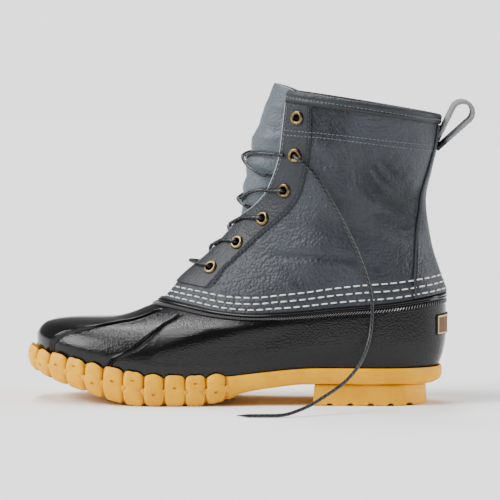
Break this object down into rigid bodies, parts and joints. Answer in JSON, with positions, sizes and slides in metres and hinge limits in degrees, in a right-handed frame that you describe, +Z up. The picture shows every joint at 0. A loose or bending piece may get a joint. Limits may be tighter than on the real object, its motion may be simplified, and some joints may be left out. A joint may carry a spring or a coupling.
{
  "type": "winter boot",
  "caption": "Laced winter boot with a moulded rubber lower on a chain-tread sole, a pebbled leather shaft, a heel pull loop and a loose lace end.",
  "frame": {"origin": "on the floor under the middle of the boot's box, its loose lace end left out", "axes": "+Z up, toe towards -X, outer side of the foot towards -Y"},
  "size_m": [0.323, 0.161, 0.229],
  "materials": {
    "antique_brass": "antique",
    "black_rubber": "glossy moulded rubber with a fine grain",
    "foam": "felted foam board",
    "gum_rubber": "satin moulded gum rubber",
    "label": "matt, plain",
    "lace": "braided cord with light flecks",
    "pebbled_leather": "pebbled, matt",
    "smooth_leather": "smoother, matt",
    "tongue_leather": "soft, matt",
    "webbing": "woven"
  },
  "bodies": {
    "root": {"backstay": "pebbled_leather", "collar_binding": "smooth_leather", "eyelet_lateral_1": "antique_brass", "eyelet_lateral_2": "antique_brass", "eyelet_lateral_3": "antique_brass", "eyelet_lateral_4": "antique_brass", "eyelet_lateral_5": "antique_brass", "eyelet_lateral_6": "antique_brass", "eyelet_medial_1": "antique_brass", "eyelet_medial_2": "antique_brass", "eyelet_medial_3": "antique_brass", "eyelet_medial_4": "antique_brass", "eyelet_medial_5": "antique_brass", "eyelet_medial_6": "antique_brass", "eyestay_lateral": "smooth_leather", "eyestay_medial": "smooth_leather", "heel": "gum_rubber", "heel_label": "label", "insole": "foam", "lace_bar_1": "lace", "lace_cross_2": "lace", "lace_cross_3": "lace", "lace_cross_4": "lace", "lace_cross_5": "lace", "lace_end": "lace", "leather_shaft": "pebbled_leather", "outsole": "gum_rubber", "pull_loop": "webbing", "rubber_shell": "black_rubber", "tongue": "tongue_leather"}
  },
  "joints": []
}
